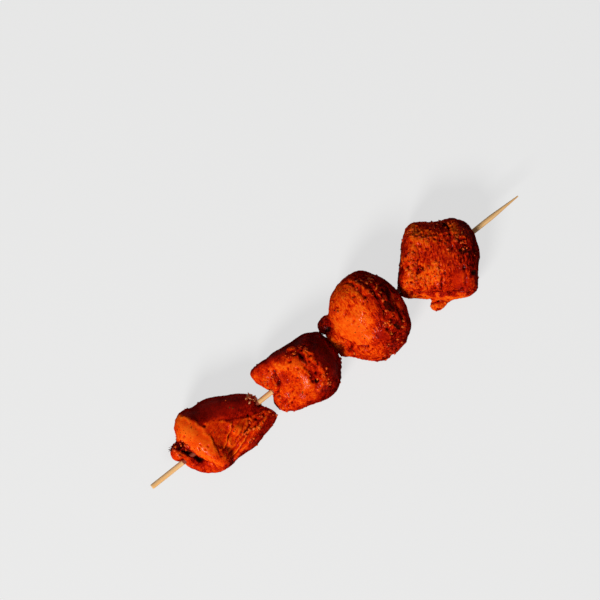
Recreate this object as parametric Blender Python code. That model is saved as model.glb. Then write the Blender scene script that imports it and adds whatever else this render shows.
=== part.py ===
"""Four chunks of grilled, marinated chicken on a pointed bamboo stick, lying on a flat surface.

Metres, +Z up. The stick runs along X, with its blunt end at -X and its point at +X. The origin is on the
surface that the chunks rest on, under the middle of the whole. Each chunk is a union of lobes of meat.
A lobe is a ball pushed out to its reach and trimmed by flat knife cuts, whose edges stay round.
"""
import math

import bmesh
import bpy
from mathutils import Matrix, Vector, noise

MM = 0.001

# The stick
STICK_LENGTH = 230 * MM
STICK_RADIUS = 1.3 * MM
STICK_HEIGHT = 16 * MM  # of its axis, above the surface
POINT_LENGTH = 17 * MM
POINT_RADIUS = 0.35 * MM
STICK_SIDES = 20

# What the meat keeps clear of
STICK_GAP = 0.3 * MM
FLOOR_DEPTH = 30 * MM

# The roundness of the cut edges and the lumps on every lobe
EDGE_SHARPNESS = 9
LUMP_HEIGHT = 0.9 * MM
LUMP_WIDTH = 13 * MM

# Each chunk is a list of lobes and strands. Lengths are in mm and angles in degrees. A place is measured
# from the blunt end of the stick, from its axis, and from the surface. A cut is the way that its flat faces,
# as a turn from the stick's direction and a rise above the horizon, and its distance from the centre.
# A strand is a long muscle: the places that it runs through, each with its half thickness.
CHUNKS = {
    "chicken_chunk_1": {
        "lobes": [
            {  # the long smooth back, which narrows along the stick
                "centre": (47, 2.5, 13), "reach": (30, 19, 16.6), "detail": 4,
                "cuts": [
                    (180, 0, 20.5), (135, 0, 24), (90, 0, 17.2), (78, 0, 16.2), (56, 0, 13.6),
                    (0, 0, 21.5), (-20, 0, 21), (68, 48, 15.2), (-72, 50, 10.5), (12, 50, 16.5),
                ],
            },
            {  # the block at the end, with its steep end face
                "centre": (33, 2.5, 14), "reach": (12, 22, 15.8), "detail": 4,
                "cuts": [
                    (180, 0, 9), (135, 0, 15), (90, 0, 18.2), (0, 0, 6), (-90, 0, 19), (210, 0, 8),
                    (186, 46, 12.8), (20, 70, 15.5),
                ],
            },
            {  # the long side below the back
                "centre": (53, -7, 10), "reach": (22, 10, 10.6), "detail": 4,
                "cuts": [(180, 0, 17), (-90, 0, 9.6), (-76, 0, 8.6), (0, 0, 19.3), (35, 0, 14)],
            },
            {  # the root of the lip, deep under the end face
                "centre": (29, -4.5, 7), "reach": (7, 8, 7.2), "detail": 2, "cuts": [],
            },
            {  # the small tab round the stick at the end face
                "centre": (21, 4.8, 13.5), "reach": (4.8, 5, 5.6), "detail": 3, "cuts": [],
            },
        ],
        "strands": {
            "lip": [
                (22.2, 2.5, 15, 3.4), (24.3, -3.6, 13, 4), (27.9, -8.6, 11.5, 4.2), (32.4, -11.7, 10, 4),
                (39, -12.6, 9, 3.4),
            ],
            "fold": [(38, -4, 17.5, 3), (45, -5.5, 18.3, 3.6), (51, -3.5, 18.8, 4), (60, -1.5, 16, 3)],
            "side_fold": [
                (39, -13, 13, 2.4), (49, -11.5, 15.4, 3), (58, -8.5, 16.4, 3), (67, -8, 13.5, 2.4),
            ],
        },
    },
    "chicken_chunk_2": {
        "lobes": [
            {  # a wedge with one broad cut face, smooth and round on its far side
                "centre": (93, -1.8, 14.5), "reach": (24, 22, 16.5), "detail": 4,
                "cuts": [
                    (180, 0, 18), (84, 0, 15.6), (5, 0, 19.4), (-33, 0, 18.6), (255, 0, 16.6),
                    (188, 58, 14.2), (82, 42, 17.5), (-80, 50, 17.5), (15, 45, 18.5),
                ],
            },
            {  # the flap beside the stick
                "centre": (78.5, 7.5, 13), "reach": (9, 10, 10.5), "detail": 3,
                "cuts": [(180, 0, 7.6), (202, 0, 6.3), (84, 0, 7.6), (-50, 0, 8), (200, 58, 7.6)],
            },
            {  # the corner on the other side of it
                "centre": (80, -6.5, 12), "reach": (10, 9, 11), "detail": 3,
                "cuts": [(180, 0, 7.9), (130, 0, 7.4), (255, 0, 7), (90, 0, 6), (195, 55, 8)],
            },
        ],
        "strands": {},
    },
    "chicken_chunk_3": {
        "lobes": [
            {  # the round main muscle
                "centre": (135.5, 0.5, 17), "reach": (20, 25, 17.8), "detail": 4,
                "cuts": [
                    (180, 0, 18.6), (197, 52, 15.2), (117, 0, 20.2), (85, 0, 23.4), (0, 0, 19.4), (-30, 0, 21),
                    (35, 12, 20.5), (270, 38, 19.5), (227, 0, 21.6),
                ],
            },
            {  # the lobe that wraps under it
                "centre": (127.5, -8, 9), "reach": (17, 16, 9.8), "detail": 4,
                "cuts": [(180, 0, 15), (227, 0, 10.4), (230, 30, 11.5), (-60, 0, 15)],
            },
            {  # the cheek that covers the stick
                "centre": (117.2, 1.2, 14), "reach": (4.9, 5.6, 6.5), "detail": 3, "cuts": [],
            },
            {  # the bit that shows behind it, beside the stick
                "centre": (117.6, 9, 11), "reach": (4.8, 4.2, 6.5), "detail": 3, "cuts": [],
            },
        ],
        "strands": {},
    },
    "chicken_chunk_4": {
        "lobes": [
            {  # a squarish block, set on edge to the stick
                "centre": (178, 0, 14.5), "reach": (31, 31, 17), "detail": 4,
                "cuts": [
                    (135, 0, 17.2), (57, 0, 20.3), (-5, 0, 24.3), (-40, 0, 21.3), (232, 0, 17.8),
                    (222, 76, 15), (50, 50, 20), (-40, 48, 21.5), (232, 30, 18.5),
                ],
            },
            {  # the torn bit below its edge
                "centre": (166.8, -16.6, 7), "reach": (4.4, 3.4, 3.2), "detail": 3, "cuts": [],
            },
            {  # what the torn bit hangs on
                "centre": (173, -13, 7), "reach": (8, 7, 6), "detail": 2, "cuts": [],
            },
        ],
        "strands": {},
    },
}


def clear_scene():
    for obj in list(bpy.data.objects):
        bpy.data.objects.remove(obj)


def new_collection(name):
    collection = bpy.data.collections.new(name)
    bpy.context.scene.collection.children.link(collection)
    return collection


def new_object(name, mesh, collection):
    obj = bpy.data.objects.new(name, mesh)
    collection.objects.link(obj)
    return obj


def new_material(name, colour, roughness):
    material = bpy.data.materials.new(name)
    material.use_nodes = True
    shader = material.node_tree.nodes["Principled BSDF"]
    shader.inputs["Base Color"].default_value = (*colour, 1)
    shader.inputs["Roughness"].default_value = roughness
    return material


def facing(turn, rise):
    """The unit vector of a flat cut that faces this way."""
    turn, rise = math.radians(turn), math.radians(rise)
    return Vector((math.cos(turn) * math.cos(rise), math.sin(turn) * math.cos(rise), math.sin(rise)))


def at(point):
    """A point given in mm from the stick's blunt end, its axis and the surface."""
    x, y, z = point
    return Vector((x * MM - STICK_LENGTH / 2, y * MM, z * MM))


def trimmed_radius(ray, reach, cuts):
    """How far the lobe's surface is from its centre along this ray."""
    round_part = math.sqrt(sum((ray[i] / (reach[i] * MM)) ** 2 for i in range(3)))
    total = round_part**EDGE_SHARPNESS
    for turn, rise, distance in cuts:
        toward = max(0.0, ray.dot(facing(turn, rise)))
        total += (toward / (distance * MM)) ** EDGE_SHARPNESS
    return total ** (-1 / EDGE_SHARPNESS)


def lobe(name, spec, collection):
    """A closed lobe of meat as an object, lumpy all over."""
    mesh = bpy.data.meshes.new(name)
    ball = bmesh.new()
    bmesh.ops.create_icosphere(ball, subdivisions=spec["detail"], radius=1)
    centre = at(spec["centre"])
    for vertex in ball.verts:
        ray = vertex.co.normalized()
        place = centre + ray * trimmed_radius(ray, spec["reach"], spec["cuts"])
        vertex.co = place + ray * LUMP_HEIGHT * noise.noise(place / LUMP_WIDTH)
    ball.to_mesh(mesh)
    ball.free()
    return new_object(name, mesh, collection)


def strand(name, points, collection):
    """A long muscle: a tube that swells and thins along a smooth line through the points."""
    line = bpy.data.curves.new(name, "CURVE")
    line.dimensions = "3D"
    line.bevel_depth = MM
    line.bevel_resolution = 2
    line.resolution_u = 3
    line.use_fill_caps = True
    spline = line.splines.new("BEZIER")
    spline.bezier_points.add(len(points) - 1)
    for point, (x, y, z, thickness) in zip(spline.bezier_points, points):
        point.co = at((x, y, z))
        point.radius = thickness
        point.handle_left_type = point.handle_right_type = "AUTO"
    curve = new_object(name + "_line", line, collection)
    bpy.context.view_layer.update()
    graph = bpy.context.evaluated_depsgraph_get()
    mesh = bpy.data.meshes.new_from_object(curve.evaluated_get(graph))
    tube = bmesh.new()
    tube.from_mesh(mesh)
    bmesh.ops.remove_doubles(tube, verts=tube.verts, dist=0.01 * MM)
    bmesh.ops.recalc_face_normals(tube, faces=tube.faces)
    tube.to_mesh(mesh)
    tube.free()
    bpy.data.objects.remove(curve)
    return new_object(name, mesh, collection)


def hide_as_cutter(obj):
    obj.hide_render = True
    obj.display_type = "WIRE"


def boolean(obj, other, operation):
    modifier = obj.modifiers.new(other.name, "BOOLEAN")
    modifier.operation = operation
    modifier.object = other


def bore_cutter(collection):
    """A rod a little thicker than the stick, which clears its way through every chunk."""
    mesh = bpy.data.meshes.new("bore")
    rod = bmesh.new()
    bmesh.ops.create_cone(
        rod, cap_ends=True, segments=STICK_SIDES, depth=STICK_LENGTH * 1.1,
        radius1=STICK_RADIUS + STICK_GAP, radius2=STICK_RADIUS + STICK_GAP,
        matrix=Matrix.Translation((0, 0, STICK_HEIGHT)) @ Matrix.Rotation(math.pi / 2, 4, "Y"),
    )
    rod.to_mesh(mesh)
    rod.free()
    cutter = new_object("bore", mesh, collection)
    hide_as_cutter(cutter)
    return cutter


def floor_cutter(collection):
    """A block below the surface, which gives every chunk the flat spot that it rests on."""
    mesh = bpy.data.meshes.new("floor")
    block = bmesh.new()
    bmesh.ops.create_cube(block, size=1)
    size = Matrix.Diagonal((STICK_LENGTH, STICK_LENGTH, FLOOR_DEPTH, 1))
    bmesh.ops.transform(block, verts=block.verts, matrix=Matrix.Translation((0, 0, -FLOOR_DEPTH / 2)) @ size)
    block.to_mesh(mesh)
    block.free()
    cutter = new_object("floor", mesh, collection)
    hide_as_cutter(cutter)
    return cutter


def chunk(name, spec, part, cutters, bore, floor, material):
    """One chunk of meat: its lobes joined, flat where it rests, with a way through for the stick."""
    first, *others = [
        lobe(f"{name}_lobe_{number}" if number else name, lobe_spec, cutters if number else part)
        for number, lobe_spec in enumerate(spec["lobes"])
    ]
    for strand_name, points in spec["strands"].items():
        others.append(strand(f"{name}_{strand_name}", points, cutters))
    for other in others:
        hide_as_cutter(other)
        boolean(first, other, "UNION")
    boolean(first, floor, "DIFFERENCE")
    boolean(first, bore, "DIFFERENCE")
    first.data.materials.append(material)
    first.data.shade_smooth()
    return first


def bamboo_stick(collection, material):
    """A round stick with a square-cut end and a long point."""
    profile = [
        (STICK_LENGTH / 2, 0),
        (STICK_LENGTH / 2 - POINT_RADIUS * 0.3, POINT_RADIUS),
        (STICK_LENGTH / 2 - POINT_LENGTH, STICK_RADIUS),
        (-STICK_LENGTH / 2 + STICK_RADIUS * 0.15, STICK_RADIUS),
        (-STICK_LENGTH / 2, STICK_RADIUS * 0.85),
        (-STICK_LENGTH / 2, 0),
    ]
    mesh = bpy.data.meshes.new("bamboo_stick")
    outline = bmesh.new()
    points = [outline.verts.new((x, 0, STICK_HEIGHT + r)) for x, r in profile]
    for start, end in zip(points, points[1:]):
        outline.edges.new((start, end))
    bmesh.ops.spin(
        outline, geom=outline.verts[:] + outline.edges[:], cent=(0, 0, STICK_HEIGHT), axis=(1, 0, 0),
        angle=math.tau, steps=STICK_SIDES, use_merge=True,
    )
    bmesh.ops.remove_doubles(outline, verts=outline.verts, dist=0.01 * MM)
    bmesh.ops.recalc_face_normals(outline, faces=outline.faces)
    outline.to_mesh(mesh)
    outline.free()
    stick = new_object("bamboo_stick", mesh, collection)
    stick.data.materials.append(material)
    stick.data.shade_smooth()
    stick.data.set_sharp_from_angle(angle=math.radians(40))
    return stick


def centre_over_origin(pieces, helpers):
    """Moves everything sideways together, until the middle of the pieces is over the origin."""
    bpy.context.view_layer.update()
    graph = bpy.context.evaluated_depsgraph_get()
    shown = [obj.evaluated_get(graph) for obj in pieces]
    sides = [(obj.matrix_world @ Vector(corner)).y for obj in shown for corner in obj.bound_box]
    kebab = bpy.data.objects.new("kebab", None)
    bpy.context.scene.collection.objects.link(kebab)
    for obj in [*pieces, *helpers]:
        obj.parent = kebab
    kebab.location.y = -(min(sides) + max(sides)) / 2


def main():
    clear_scene()
    part = new_collection("chicken_kebab")
    cutters = new_collection("cutters")
    chicken = new_material("chicken", (0.72, 0.09, 0.015), 0.45)
    bamboo = new_material("bamboo", (0.72, 0.50, 0.27), 0.55)
    bore = bore_cutter(cutters)
    floor = floor_cutter(cutters)
    bamboo_stick(part, bamboo)
    for name, spec in CHUNKS.items():
        chunk(name, spec, part, cutters, bore, floor, chicken)
    centre_over_origin(list(part.objects), list(cutters.objects))


main()
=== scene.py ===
import math

import bmesh
import bpy
import numpy as np
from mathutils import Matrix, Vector, noise


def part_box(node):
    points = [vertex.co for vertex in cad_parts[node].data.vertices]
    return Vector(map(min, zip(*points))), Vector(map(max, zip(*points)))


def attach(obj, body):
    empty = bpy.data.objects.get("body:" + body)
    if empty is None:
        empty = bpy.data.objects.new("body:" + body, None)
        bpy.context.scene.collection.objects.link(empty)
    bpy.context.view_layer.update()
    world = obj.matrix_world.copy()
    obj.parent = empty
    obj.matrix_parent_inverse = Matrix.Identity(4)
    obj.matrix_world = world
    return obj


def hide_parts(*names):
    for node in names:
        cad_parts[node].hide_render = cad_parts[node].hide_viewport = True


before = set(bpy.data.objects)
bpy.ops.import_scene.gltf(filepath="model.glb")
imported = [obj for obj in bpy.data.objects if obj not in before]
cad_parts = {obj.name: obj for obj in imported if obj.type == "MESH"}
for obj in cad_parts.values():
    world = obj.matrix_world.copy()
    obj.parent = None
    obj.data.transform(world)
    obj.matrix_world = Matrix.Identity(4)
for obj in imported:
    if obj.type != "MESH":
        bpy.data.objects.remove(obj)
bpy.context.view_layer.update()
mm = 0.001
stickLow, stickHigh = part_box("bamboo_stick")
stickCentre = (stickLow + stickHigh) / 2
print("frame loaded:", len(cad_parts), "pieces")


# Node trees are written with these two classes.
class Wire:  # one output of a node, so that sums on it are written as sums
    def __init__(self, graph, socket):
        self.graph = graph
        self.socket = socket

    def other(self, name):  # another output of the same node
        return Wire(self.graph, self.socket.node.outputs[name])

    def __add__(self, value):
        return self.graph.maths("ADD", self, value)

    def __radd__(self, value):
        return self.graph.maths("ADD", value, self)

    def __sub__(self, value):
        return self.graph.maths("SUBTRACT", self, value)

    def __rsub__(self, value):
        return self.graph.maths("SUBTRACT", value, self)

    def __mul__(self, value):
        return self.graph.maths("MULTIPLY", self, value)


class Graph:  # a shader or geometry tree that is being filled
    def __init__(self, tree):
        self.tree = tree
        tree.nodes.clear()

    def node(self, kind, settings=None, values=None, output=0):
        made = self.tree.nodes.new(kind)
        for name, value in (settings or {}).items():
            if name == "stops":
                self.setStops(made.color_ramp, value)
            else:
                setattr(made, name, value)
        for name, value in (values or {}).items():
            wires = value if isinstance(value, list) else [value]
            for wire in wires:
                if isinstance(wire, Wire):
                    self.tree.links.new(wire.socket, made.inputs[name])
                else:
                    made.inputs[name].default_value = wire
        return Wire(self, made.outputs[output]) if made.outputs else made

    def setStops(self, ramp, stops):
        while len(ramp.elements) < len(stops):
            ramp.elements.new(0.5)
        for element, (place, colour) in zip(ramp.elements, stops):
            element.position = place
            element.color = (*colour, 1)

    def maths(self, operation, first, second):
        return self.node("ShaderNodeMath", {"operation": operation}, {0: first, 1: second})

    def mixColour(self, share, first, second):
        first, second = [(*colour, 1) if isinstance(colour, tuple) else colour for colour in (first, second)]
        return self.node("ShaderNodeMix", {"data_type": "RGBA"}, {0: share, 6: first, 7: second}, 2)

    def step(self, value, low, high, least=0.0, most=1.0):  # eases from least to most
        return self.node("ShaderNodeMapRange", {"interpolation_type": "SMOOTHSTEP"},
                         {"Value": value, "From Min": low, "From Max": high, "To Min": least, "To Max": most})

    def noise(self, place, size, seed, detail=2.0, roughness=0.5):
        values = {"Vector": place, "W": seed, "Scale": 1 / size, "Detail": detail, "Roughness": roughness}
        return self.node("ShaderNodeTexNoise", {"noise_dimensions": "4D"}, values)

    def attribute(self, name):
        return self.node("ShaderNodeAttribute", {"attribute_name": name}, output="Fac")

    def bump(self, height, distance, strength, below=None):  # on top of another bump, if one is given
        values = {"Height": height, "Distance": distance, "Strength": strength}
        if below:
            values["Normal"] = below
        return self.node("ShaderNodeBump", {}, values)


def newFinish(name):
    material = bpy.data.materials.new(name)
    material.use_nodes = True
    return material, Graph(material.node_tree)


def finishWith(graph, fixed, varying):  # the Principled shader and the material's output
    shader = graph.node("ShaderNodeBsdfPrincipled", {}, {**fixed, **varying})
    graph.node("ShaderNodeOutputMaterial", {}, {"Surface": shader})


# Sizes are mm. Tones run from 0, dark red, to 1, bright orange, and the tones painted on the chunks carry
# painted light and painted shade as well as the meat's own colour. Each edge is where a mask starts and is
# full.
marinade = {
    "tones": [  # linear colours
        (0.00, (0.045, 0.0008, 0.0004)), (0.20, (0.14, 0.0018, 0.0006)), (0.42, (0.36, 0.0055, 0.0008)),
        (0.62, (0.62, 0.020, 0.001)), (0.82, (0.84, 0.060, 0.0015)), (1.00, (0.92, 0.13, 0.005)),
    ],
    "patchSize": 6, "blotchSize": 2.0, "grainSize": 0.5, "streakSize": 0.45, "streakStretch": 7,
    # hollowShade makes hollows darker: painted shade.
    "patchTone": 0.45, "blotchTone": 1.1, "grainTone": 0.85, "hollowShade": 0.8, "calming": 0.6,
    "pepperSize": 2.3, "pepperWear": 0.3, "pepperEdge": (0.16, 0.08), "pepperShare": 0.7,
    # The char colour marks char, and also stands for painted shade in slits, holes and hollows.
    "char": (0.022, 0.003, 0.0015),
    # charShadeInHollows takes deep hollows to the char colour: painted shade.
    "charMottle": 1.6, "charShadeInHollows": 1.5, "charEdge": (0.55, 1.0), "charShare": 0.9,
    "specular": 0.0,  # the coat has all the gloss
    "ior": 1.42, "coatIor": 1.38, "roughness": 0.52, "roughnessRange": 0.4, "wetSheen": 0.12,
    "coatRoughness": 0.18, "juices": 0.22, "juiceMottle": 0.9, "juiceEdge": (0.25, 0.95),
    "facingEdge": (0.7, 0.25),  # gloss fades where the surface is seen edge on
    "fineBump": 0.20, "fineStrength": 0.7, "streakBump": 0.25, "streakStrength": (0.3, 0.5),
    "scatter": 0.05, "scatterReach": 1.4, "scatterColour": (1.0, 0.15, 0.05),
}


def chickenFinish(name, grainTurn, streaks):
    m = marinade
    material, g = newFinish(name)
    place = g.node("ShaderNodeTexCoord", output="Object")
    grain = g.node("ShaderNodeMapping", {"vector_type": "TEXTURE"},
                   {"Vector": place, "Rotation": (0, 0, math.radians(grainTurn)),
                    "Scale": (m["streakStretch"], 1, 1)})
    # cut is the meat's tone with painted light and painted shade in it.
    cut, hollow, char, wet, calm = [g.attribute(each) for each in ("cut", "hollow", "char", "wet", "calm")]
    patches = g.noise(place, m["patchSize"] * mm, seed=1) - 0.5
    blotches = g.noise(place, m["blotchSize"] * mm, seed=2, detail=4, roughness=0.65) - 0.5
    grains = g.noise(place, m["grainSize"] * mm, seed=3, detail=3, roughness=0.6) - 0.5
    streak = g.noise(grain, m["streakSize"] * mm, seed=4) - 0.5

    mottle = patches * m["patchTone"] + blotches * m["blotchTone"] + grains * m["grainTone"]
    mottle = mottle + streak * streaks
    # Painted shade: hollows are made darker than the meat around them.
    tone = cut + mottle * (1 - calm * m["calming"]) - hollow * m["hollowShade"]
    colour = g.node("ShaderNodeValToRGB", {"stops": m["tones"]}, {"Fac": tone}, "Color")
    pepper = g.node("ShaderNodeTexVoronoi", {},
                    {"Vector": place, "Scale": 1 / (m["pepperSize"] * mm)}, "Distance")
    specks = g.step(pepper + grains * m["pepperWear"], *m["pepperEdge"])
    # The char colour goes on char spots and random blotches, and into hollows as painted shade.
    charAndHollowShade = g.step(char + blotches * m["charMottle"] + hollow * m["charShadeInHollows"], *m["charEdge"])
    colour = g.mixColour(specks * m["pepperShare"], colour, m["tones"][0][1])
    colour = g.mixColour(charAndHollowShade * m["charShare"], colour, m["char"])

    roughness = m["roughness"] + blotches * m["roughnessRange"] - wet * m["wetSheen"]
    juicy = g.step(wet + patches * m["juiceMottle"], *m["juiceEdge"])
    facing = g.step(g.node("ShaderNodeLayerWeight", output="Facing"), *m["facingEdge"])
    fine = g.bump(grains, m["fineBump"] * mm, m["fineStrength"])
    least, more = m["streakStrength"]
    bump = g.bump(streak, m["streakBump"] * mm, least + more * streaks, fine)
    finishWith(g, {"IOR": m["ior"], "Specular IOR Level": m["specular"],
                   "Subsurface Weight": m["scatter"], "Subsurface Radius": m["scatterColour"],
                   "Subsurface Scale": m["scatterReach"] * mm,
                   "Coat Roughness": m["coatRoughness"], "Coat IOR": m["coatIor"]},
               {"Base Color": colour, "Roughness": roughness, "Coat Weight": juicy * facing * m["juices"],
                "Normal": bump})
    return material


spotEdge = (1.3, 0.7)  # a soft ellipse starts and is full at these shares of its half lengths
noiseGain = 1.6
seedShift = np.array([7.31, 3.17, 5.83])


def ease(low, high, value):  # 0 at low, 1 at high
    share = np.clip((value - low) / (high - low), 0, 1)
    return share * share * (3 - 2 * share)


def layer(points, size, seed):  # smooth noise from about -1 to 1, points and size in mm
    moved = points / np.array(size) + seed * seedShift
    return np.array([noise.noise(p) for p in moved.tolist()]) * noiseGain


def drift(points, size, seed):  # smooth noise in each direction
    return np.stack([layer(points, size, seed + k) for k in range(3)], 1)


def turned(points, turn):  # points seen along the grain
    c, s = math.cos(math.radians(turn)), math.sin(math.radians(turn))
    x, y, z = points.T
    return np.stack([x * c + y * s, y * c - x * s, z], 1)


def farFromPath(points, path):  # distance in plan from a line through the path's points
    line = np.array(path, float)
    if len(line) == 1:
        return np.hypot(*(points[:, :2] - line[0]).T)
    best = np.full(len(points), np.inf)
    for start, end in zip(line[:-1], line[1:]):
        run = end - start
        share = np.clip((points[:, :2] - start) @ run / (run @ run), 0, 1)
        gap = points[:, :2] - start - share[:, None] * run
        best = np.minimum(best, np.hypot(gap[:, 0], gap[:, 1]))
    return best


def inSpots(points, spots):  # 1 inside any of the soft ellipses seen from above
    found = np.zeros(len(points))
    for x, y, wide, deep, turn in spots:
        seen = turned(points - np.array([x, y, 0]), turn)
        reach = np.hypot(seen[:, 0] / wide, seen[:, 1] / deep)
        found = np.maximum(found, ease(*spotEdge, reach))
    return found


def inArea(points, outline, soft):  # 1 inside the outline seen from above, with soft edges
    corners = np.array(outline, float)
    inside = np.zeros(len(points), bool)
    for (x1, y1), (x2, y2) in zip(corners, np.roll(corners, -1, 0)):
        if y1 != y2:
            crossing = (y1 > points[:, 1]) != (y2 > points[:, 1])
            inside ^= crossing & (points[:, 0] < (x2 - x1) * (points[:, 1] - y1) / (y2 - y1) + x1)
    gap = farFromPath(points, [*outline, outline[0]]) * np.where(inside, 1, -1)
    return ease(-soft, soft, gap)


# The tone it paints holds painted light and painted shade: lit faces lighter, far sides and holes darker, a
# few painted highlights, over the meat's own tones.
def painted(points, tone, toneAndLightAreas, toneAndLightDabs):  # the coat's tone: areas go on in turn, then the dabs
    tone = np.full(len(points), float(tone))
    for value, soft, outline in toneAndLightAreas:
        tone += (value - tone) * inArea(points, outline, soft)
    for value, *spot in toneAndLightDabs:
        tone += (value - tone) * inSpots(points, [spot])
    return tone


def strokes(points, lines):  # soft ridges along the lines, with a width and a height each
    total = np.zeros(len(points))
    for width, height, path in lines:
        total += height * np.exp(-((farFromPath(points, path) / width) ** 2))
    return total


def spread(values, edges, rounds=1):  # each point takes its neighbours' mean, once or more often
    count = len(values)
    a, b = edges[:, 0], edges[:, 1]
    near = np.maximum(np.bincount(a, minlength=count) + np.bincount(b, minlength=count), 1)
    for _ in range(rounds):
        columns = values.reshape(count, -1).T
        sums = [np.bincount(a, c[b], count) + np.bincount(b, c[a], count) for c in columns]
        values = (np.array(sums) / near).T.reshape(values.shape)
    return values


meatMesh = {
    "voxel": 0.32 * mm, "weld": 0.001 * mm, "relax": 12, "fillRounds": 90, "fillAll": 0.15,
    "plug": 2.2 * mm, "plugSides": 32, "plugOut": 0.2 * mm,
    "plugFrom": 45, "stainFrom": 20,  # per cent of the blunt-end rim's points that lie before the place
}
lean = (0.054, 0.068)  # how far the camera's line leans, mm in plan for each mm of height
inMeat = {}  # the stretch of the stick, in mm, that each chunk hides


def plainMesh(maker, name):  # the evaluated shape as a mesh, and its maker is removed
    bpy.context.view_layer.update()
    shown = maker.evaluated_get(bpy.context.evaluated_depsgraph_get())
    mesh = bpy.data.meshes.new_from_object(shown)
    mesh.name = name
    bpy.data.objects.remove(maker)
    return mesh


def newObject(name, mesh):
    made = bpy.data.objects.new(name, mesh)
    bpy.context.scene.collection.objects.link(made)
    return made


def solidMeat(node):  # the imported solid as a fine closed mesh, with the stick's way through it filled
    low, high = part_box(node)
    build = bmesh.new()
    build.from_mesh(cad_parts[node].data)
    bmesh.ops.remove_doubles(build, verts=build.verts, dist=meatMesh["weld"])
    middle = (low.x + high.x) / 2
    places = [(v.co.x, math.hypot(v.co.y - stickCentre.y, v.co.z - stickCentre.z)) for v in build.verts]
    rims = [x for x, away in places if away < meatMesh["plug"]]
    bluntRim = [x for x in rims if x < middle]
    start = np.percentile(bluntRim, meatMesh["plugFrom"]) - meatMesh["plugOut"]
    end = min(x for x in rims if x > middle) + meatMesh["plugOut"]
    inMeat[node] = (np.percentile(bluntRim, meatMesh["stainFrom"]) / mm, max(rims) / mm)
    plug = bmesh.ops.create_cone(build, cap_ends=True, segments=meatMesh["plugSides"],
                                 radius1=meatMesh["plug"], radius2=meatMesh["plug"], depth=end - start)
    for v in plug["verts"]:
        v.co = Vector((v.co.z + (start + end) / 2, v.co.x + stickCentre.y, v.co.y + stickCentre.z))
    bmesh.ops.recalc_face_normals(build, faces=build.faces)
    mesh = bpy.data.meshes.new(node + "_cast")
    build.to_mesh(mesh)
    build.free()
    cast = newObject(node + "_cast", mesh)
    remesh = cast.modifiers.new("voxels", "REMESH")
    remesh.mode = "VOXEL"
    remesh.voxel_size = meatMesh["voxel"]
    return plainMesh(cast, node + "_meat")


def readMesh(mesh):  # its points in mm, and its edges
    places = np.zeros(len(mesh.vertices) * 3, np.float32)
    mesh.vertices.foreach_get("co", places)
    pairs = np.zeros(len(mesh.edges) * 2, np.int32)
    mesh.edges.foreach_get("vertices", pairs)
    return places.reshape(-1, 3).astype(float) / mm, pairs.reshape(-1, 2)


def pull(mesh, points):  # points in mm go back into the mesh, and its normals come out
    mesh.vertices.foreach_set("co", (points * mm).astype(np.float32).ravel())
    mesh.update()
    normals = np.zeros(len(points) * 3, np.float32)
    mesh.vertex_normals.foreach_get("vector", normals)
    return normals.reshape(-1, 3).astype(float)


def fillHollows(mesh, points, edges, share):  # hollows fill up to their surroundings, and bulges stay
    for _ in range(meatMesh["fillRounds"]):
        normals = pull(mesh, points)
        gap = np.einsum("ij,ij->i", spread(points, edges) - points, normals)
        points = points + normals * (np.maximum(gap, 0) * (meatMesh["fillAll"] + share))[:, None]
    return points


def asSeen(points, centre):  # from the chunk's middle, slid along the camera's line to the stick's height
    local = points - centre
    local[:, :2] += (points[:, 2:] - stickCentre.z / mm) * np.array(lean)
    return local


contact = {"size": 5, "wave": 0.7, "overlap": 0.25, "seed": 71}  # mm, where two chunks are pressed together


def pressed(points, low, high, side, reach):  # the side against the next chunk, on the wavy face they share
    gap = high - points[:, 0] if side > 0 else points[:, 0] - low
    wave = layer(points * np.array([0, 1, 1]), contact["size"], contact["seed"]) * contact["wave"]
    shift = (wave + side * contact["overlap"]) * ease(reach, 0, gap)
    gap = np.where(gap < reach, gap * gap / reach, gap)
    return (high - gap if side > 0 else low + gap) + shift


# Sizes and depths are mm. Each seed step is added to the chunk's own seed.
skin = {
    "topFrom": (-0.15, 0.3), "sideRoughness": 0.45,
    "lumpSize": 7.5, "lumpStep": 4,
    "grainWaver": 1.1, "grainWaverSize": 9, "grainWaverStep": 1,
    "wideFibre": (13, 2.3, 2.3), "wideStep": 5, "wideShare": 0.6,
    "fineFibre": (8, 1.05, 1.05), "fineStep": 6, "fineShare": 0.45,
    "bitSize": 1.7, "bitStep": 7, "smallBitSize": 0.95, "smallBitStep": 8, "smallBitShare": 0.7,
    "gritSize": 0.62, "gritStep": 12, "crumbleAll": 0.25, "calming": 0.85,
    "lineWaver": 0.55, "lineWaverSize": 3.2, "lineWaverStep": 17,
    "pit": {"width": (0.35, 0.95), "height": (0.3, 0.8), "everywhere": 0.35, "lessOnSmooth": 0.75},
    "nodule": {"width": (0.45, 1.2), "height": (0.2, 0.6), "everywhere": 0.2, "lessOnSmooth": 0.9},
    "floorBand": 0.2, "socket": (3.2, 1.6), "socketDepth": 0.5,
}


def dotted(points, count, kind, draws, rough, smooth):  # small round bumps, most of them where it is rough
    total = np.zeros(len(points))
    for _ in range(count):
        at = draws.integers(len(points))
        width = draws.uniform(*kind["width"])
        height = draws.uniform(*kind["height"]) * (kind["everywhere"] + rough[at])
        height *= 1 - kind["lessOnSmooth"] * smooth[at]
        gap = np.linalg.norm(points - points[at], axis=1)
        total += height * np.exp(-((gap / width) ** 2))
    return total


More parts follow.
